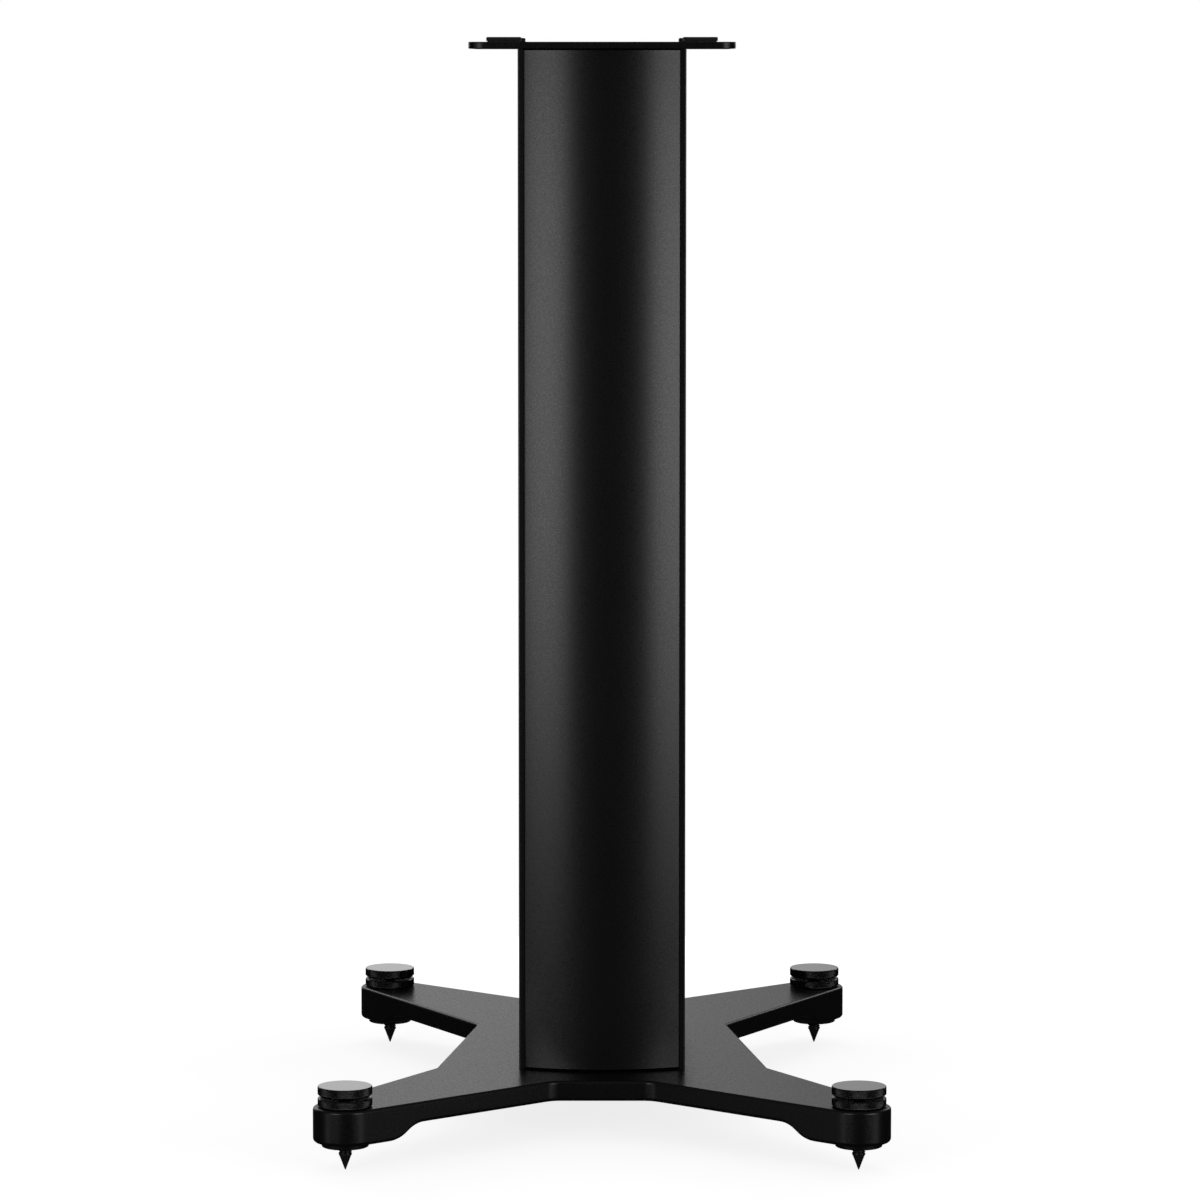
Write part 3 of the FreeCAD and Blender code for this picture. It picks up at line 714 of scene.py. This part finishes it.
def anodised(name, level=0.003, gloss=0.3, rough=0.29):
    """Blasted black anodising on an extrusion: very fine grain, with a trace of long lines."""
    finish = Finish(name, Specular_IOR_Level=gloss)
    grain = finish.noise(0.9 * mm, 3, 0.7)
    lines = finish.noise(1.1 * mm, 2, where=finish.stretched(1, 1, 0.004))
    cloud = finish.noise(60 * mm, 3)
    mix_colours(finish, finish.spread(cloud, 0, 1), level * 0.85, level * 1.15)
    finish.set("Roughness", finish.spread(grain, rough - 0.045, rough + 0.055))
    finish.bump(lines, 0.002 * mm)
    finish.bump(grain, 0.012 * mm)
    return finish.material


def turned_metal(name, level, rough, gloss, coat=0.0, worn=0.02):
    """Blackened metal from a lathe, with fine rings round the piece's own axis."""
    finish = Finish(name, Specular_IOR_Level=gloss, Coat_Weight=coat)
    finish.shader.inputs["Coat Roughness"].default_value = COAT_ROUGHNESS
    flat = finish.add(
        "ShaderNodeVectorMath", {0: finish.place, 1: (1, 1, 0)}, operation="MULTIPLY"
    )
    length = finish.add(
        "ShaderNodeVectorMath", {0: flat.outputs["Vector"]}, operation="LENGTH"
    )
    far = length.outputs["Value"]
    rings = finish.add(
        "ShaderNodeMath", {0: far, 1: 2 * math.pi / TOOL_MARKS}, operation="MULTIPLY"
    )
    ripple = finish.add("ShaderNodeMath", {0: rings.outputs[0]}, operation="SINE")
    wear = finish.noise(3.5 * mm, 4, 0.65)
    mix_colours(finish, finish.spread(wear, 0, 1), level * 0.9, level * 1.15)
    finish.set("Roughness", finish.spread(wear, rough - worn, rough + worn))
    finish.bump(ripple.outputs[0], 0.0002 * mm)
    finish.bump(finish.noise(0.2 * mm, 2), 0.001 * mm)
    return finish.material


def rubber(name, level=0.012, rough=0.72):
    """Matt rubber with a faint moulded grain and a little dust."""
    finish = Finish(name, Specular_IOR_Level=0.3)
    grain = finish.noise(0.5 * mm, 3, 0.6)
    dust = finish.noise(6 * mm, 4, 0.7)
    mix_colours(finish, finish.spread(dust, 0, 1), level * 0.85, level * 1.5)
    finish.set("Roughness", finish.spread(dust, rough - 0.06, rough + 0.08))
    finish.bump(grain, 0.03 * mm, 0.5)
    return finish.material


def foam(name):
    """Open-celled adhesive foam in dark grey."""
    finish = Finish(name, Specular_IOR_Level=0.2)
    cells = finish.add(
        "ShaderNodeTexVoronoi", {"Vector": finish.place, "Scale": 1 / (0.25 * mm)}
    )
    far = cells.outputs["Distance"]
    mix_colours(finish, finish.spread(far, 0, 1), 0.03, 0.1)
    finish.set("Roughness", finish.spread(far, 0.7, 0.95))
    finish.bump(far, 0.05 * mm, 0.6)
    return finish.material


def black_steel(name):
    """Black oxide on a screw: a little mottled, with worn high spots."""
    finish = Finish(name, Metallic=1.0, Specular_IOR_Level=0.5)
    mottle = finish.noise(0.8 * mm, 4, 0.6)
    mix_colours(finish, finish.spread(mottle, 0, 1), 0.02, 0.05)
    finish.set("Roughness", finish.spread(mottle, 0.32, 0.5))
    finish.bump(finish.noise(0.3 * mm, 2), 0.006 * mm, 0.5)
    return finish.material


def finish_nodes():
    """Gives each remaining node of the model its finish."""
    coat = powder_coat("plate_powder_coat")
    core = anodised("core_anodising")
    pads = rubber("pad_rubber")
    screws = black_steel("screw_black_oxide")
    given = {
        "top_plate": coat,
        "column_core": core,
        "pad_tapes": foam("tape_foam"),
        "column_screws": screws,
        "plate_screws": screws,
        **{f"pad_{corner}": pads for corner in CORNERS},
    }
    for name, material in given.items():
        paint(nodes[name], material)


def paint(piece, material):
    piece.data.materials.clear()
    piece.data.materials.append(material)


def paint_top(piece, material):
    """Gives the faces that look straight up a finish of their own."""
    mesh = piece.data
    mesh.materials.append(material)
    for face in mesh.polygons:
        if face.normal.z > FACING_UP:
            face.material_index = 1


# ---------------------------------------------------------------- the object

paint(make_base(), powder_coat("base_powder_coat"))
cover_finish = anodised("cover_anodising")
paint(make_cover("front_panel", "front_cover"), cover_finish)
paint(make_cover("rear_panel", "rear_cover"), cover_finish)
paint(make_inserts(), turned_metal("insert_black", 0.003, 0.36, 0.15))
knob_finish = turned_metal("knob_satin_black", 0.012, 0.2, 1.0, 0.9)
ring_finish = turned_metal("knurled_black", 0.002, 0.17, 0.27, worn=0.006)
spike_finish = turned_metal("spike_black", 0.006, 0.26, 0.45)
for corner in CORNERS:
    knob, ring, spike = make_foot(corner)
    paint(knob, ring_finish)
    paint_top(knob, knob_finish)
    paint(ring, ring_finish)
    paint(spike, spike_finish)
finish_nodes()


# ---------------------------------------------------------------- floor, light and camera

FLOOR_RADIUS = 0.62
FLOOR_FADE = (FLOOR_RADIUS * 0.45, FLOOR_RADIUS * 0.97)
FLOOR_ALBEDO = 0.4
FLOOR_GLOW = 0.82
FILL = 0.3

# What gloss sees. An edge is where a part of it fades in or out, by x, y or z of the direction.
DARK_STUDIO = 0.01
CEILING = 0.16
CEILING_EDGE = (0.2, 0.55)
BACKDROP = 0.8
BACKDROP_EDGE = (0.55, 0.9)
HORIZON_EDGE = (-0.06, 0.0)
RIGHT_SHARE = 0.52
RIGHT_EDGE = (-0.03, 0.06)
FAR_RIGHT_SHARE = 0.3
FAR_RIGHT_EDGE = (0.1, 0.5)
LOW_GLOW = 1.0
LOW_GLOW_FRONT = (-0.68, -0.5)
LOW_GLOW_BACK = (-0.42, -0.22)
LOW_GLOW_FOOT = (-0.4, -0.2)
LOW_GLOW_TOP = (0.0, 0.15)

SOFT_BOX_FAR = 1.9
SOFT_BOX_TALL = 0.65
# Name, azimuth (0 the front, 90 the right), distance, height, size, radiance, height aimed at.
SOFT_BOXES = (
    ("soft_box_left", -33, SOFT_BOX_FAR, 0.37, (0.84, SOFT_BOX_TALL), 5.9, 0.35),
    ("soft_box_right", 43, SOFT_BOX_FAR, 0.37, (0.96, SOFT_BOX_TALL), 6.0, 0.35),
    ("soft_box_rear_left", -145, SOFT_BOX_FAR, 0.95, (0.66, SOFT_BOX_TALL), 2.2, 0.4),
    ("soft_box_rear_right", 145, SOFT_BOX_FAR, 0.95, (0.66, SOFT_BOX_TALL), 2.2, 0.4),
    ("soft_box_above", 180, 0.9, 2.1, (1.0, 1.0), 0.8, 0.4),
)

CAMERA_BACK = 3.2117
CAMERA_HEIGHT = 0.6383
CAMERA_TILT = math.radians(5.841)
CAMERA_TURN = math.radians(0.022)
SENSOR = 36.0
LENS = 159.2


class Shading(Nodes):
    """Short hands for one node tree, which starts empty."""

    def __init__(self, tree):
        super().__init__(tree)
        tree.nodes.clear()

    def maths(self, operation, one, other=0.0):
        made = self.add("ShaderNodeMath", {0: one, 1: other}, operation=operation)
        return made.outputs[0]

    def product(self, *factors):
        whole = factors[0]
        for factor in factors[1:]:
            whole = self.maths("MULTIPLY", whole, factor)
        return whole

    def step(self, source, start, end, low, high):
        """Goes smoothly from low to high while the source goes from start to end."""
        inputs = {"Value": source, "From Min": start, "From Max": end}
        inputs.update({"To Min": low, "To Max": high})
        made = self.add("ShaderNodeMapRange", inputs, interpolation_type="SMOOTHSTEP")
        return made.outputs["Result"]

    def blend(self, factor, one, other):
        made = self.add("ShaderNodeMix", {0: factor, 2: one, 3: other})
        return made.outputs[0]

    def distance(self, centre):
        """Distance in the object's own coordinates from a point."""
        place = self.add("ShaderNodeTexCoord").outputs["Object"]
        apart = self.add("ShaderNodeVectorMath", {0: place, 1: centre}, operation="DISTANCE")
        return apart.outputs["Value"]


def make_floor():
    """A pale disc that shows white to the camera and still takes the stand's shadow. The
    stand's gloss doesn't show it, as in a dark studio."""
    bm = bmesh.new()
    bmesh.ops.create_circle(bm, cap_ends=True, segments=96, radius=FLOOR_RADIUS)
    mesh = bpy.data.meshes.new("floor")
    bm.to_mesh(mesh)
    bm.free()
    disc = bpy.data.objects.new("floor", mesh)
    bpy.context.scene.collection.objects.link(disc)
    material = bpy.data.materials.new("pale_floor")
    material.use_nodes = True
    shading = Shading(material.node_tree)
    path = shading.add("ShaderNodeLightPath").outputs
    rim = shading.distance((0, 0, 0))
    seen = shading.step(rim, *FLOOR_FADE, FLOOR_GLOW, 1.0)
    emission = shading.add("ShaderNodeEmission", {"Strength": seen}).outputs[0]
    colour = grey(FLOOR_ALBEDO) + (1,)
    matt = shading.add("ShaderNodeBsdfDiffuse", {"Color": colour}).outputs[0]
    both = shading.add("ShaderNodeAddShader", {0: emission, 1: matt}).outputs[0]
    back = shading.add("ShaderNodeNewGeometry").outputs["Backfacing"]
    front = shading.maths("SUBTRACT", 1.0, back)
    shown = shading.maths("MULTIPLY", path["Is Camera Ray"], front)
    clear = shading.add("ShaderNodeBsdfTransparent").outputs[0]
    sided = shading.add("ShaderNodeMixShader", {0: shown, 1: clear, 2: both}).outputs[0]
    shading.add("ShaderNodeOutputMaterial", {"Surface": sided})
    paint(disc, material)


def make_world():
    """White where the camera looks past the stand. Gloss sees a pale backdrop behind the stand,
    fainter to the right, a dark studio with a slightly lighter ceiling, and a low glow on
    either side of the front. All else gets a soft even fill."""
    world = bpy.data.worlds.new("studio")
    bpy.context.scene.world = world
    world.use_nodes = True
    shading = Shading(world.node_tree)
    path = shading.add("ShaderNodeLightPath").outputs
    place = shading.add("ShaderNodeTexCoord").outputs["Generated"]
    x, y, z = shading.add("ShaderNodeSeparateXYZ", {0: place}).outputs
    overhead = shading.step(z, *CEILING_EDGE, DARK_STUDIO, CEILING)
    backdrop = shading.product(
        shading.step(y, *BACKDROP_EDGE, 0.0, BACKDROP),
        shading.step(x, *RIGHT_EDGE, 1.0, RIGHT_SHARE),
        shading.step(x, *FAR_RIGHT_EDGE, 1.0, FAR_RIGHT_SHARE),
        shading.step(z, *HORIZON_EDGE, 0.0, 1.0),
    )
    low_glow = shading.product(
        shading.step(y, *LOW_GLOW_FRONT, 0.0, LOW_GLOW),
        shading.step(y, *LOW_GLOW_BACK, 1.0, 0.0),
        shading.step(z, *LOW_GLOW_FOOT, 0.0, 1.0),
        shading.step(z, *LOW_GLOW_TOP, 1.0, 0.0),
    )
    mirrored = shading.maths("MAXIMUM", backdrop, overhead)
    mirrored = shading.maths("MAXIMUM", mirrored, low_glow)
    glossy = shading.maths("MAXIMUM", path["Is Glossy Ray"], path["Is Transmission Ray"])
    lit = shading.blend(glossy, FILL, mirrored)
    strength = shading.blend(path["Is Camera Ray"], lit, 1.0)
    background = shading.add("ShaderNodeBackground", {"Strength": strength}).outputs[0]
    background.node.inputs["Color"].default_value = (1, 1, 1, 1)
    shading.add("ShaderNodeOutputWorld", {"Surface": background})


def soft_box(name, azimuth, far, height, size, radiance, aim):
    """A rectangular lamp that looks at the stand's axis and that the camera doesn't see."""
    lamp = bpy.data.lights.new(name, "AREA")
    lamp.shape = "RECTANGLE"
    lamp.size, lamp.size_y = size
    lamp.energy = radiance * math.pi * size[0] * size[1]
    box = bpy.data.objects.new(name, lamp)
    turn = math.radians(azimuth)
    box.location = (far * math.sin(turn), -far * math.cos(turn), height)
    towards = Vector((0, 0, aim)) - box.location
    box.rotation_euler = towards.to_track_quat("-Z", "Y").to_euler()
    box.visible_camera = False
    bpy.context.scene.collection.objects.link(box)


def make_camera():
    """The photograph's own place, with its lens a little longer and tipped down a little,
    which comes within a third of a percent of the photograph's shifted view."""
    data = bpy.data.cameras.new("camera")
    data.sensor_width = SENSOR
    data.lens = LENS
    camera = bpy.data.objects.new("camera", data)
    camera.location = (0, -CAMERA_BACK, CAMERA_HEIGHT)
    camera.rotation_euler = (math.pi / 2 - CAMERA_TILT, 0, CAMERA_TURN)
    bpy.context.scene.collection.objects.link(camera)
    bpy.context.scene.camera = camera


make_floor()
make_world()
for settings in SOFT_BOXES:
    soft_box(*settings)
make_camera()
bpy.context.scene.view_settings.view_transform = "Standard"
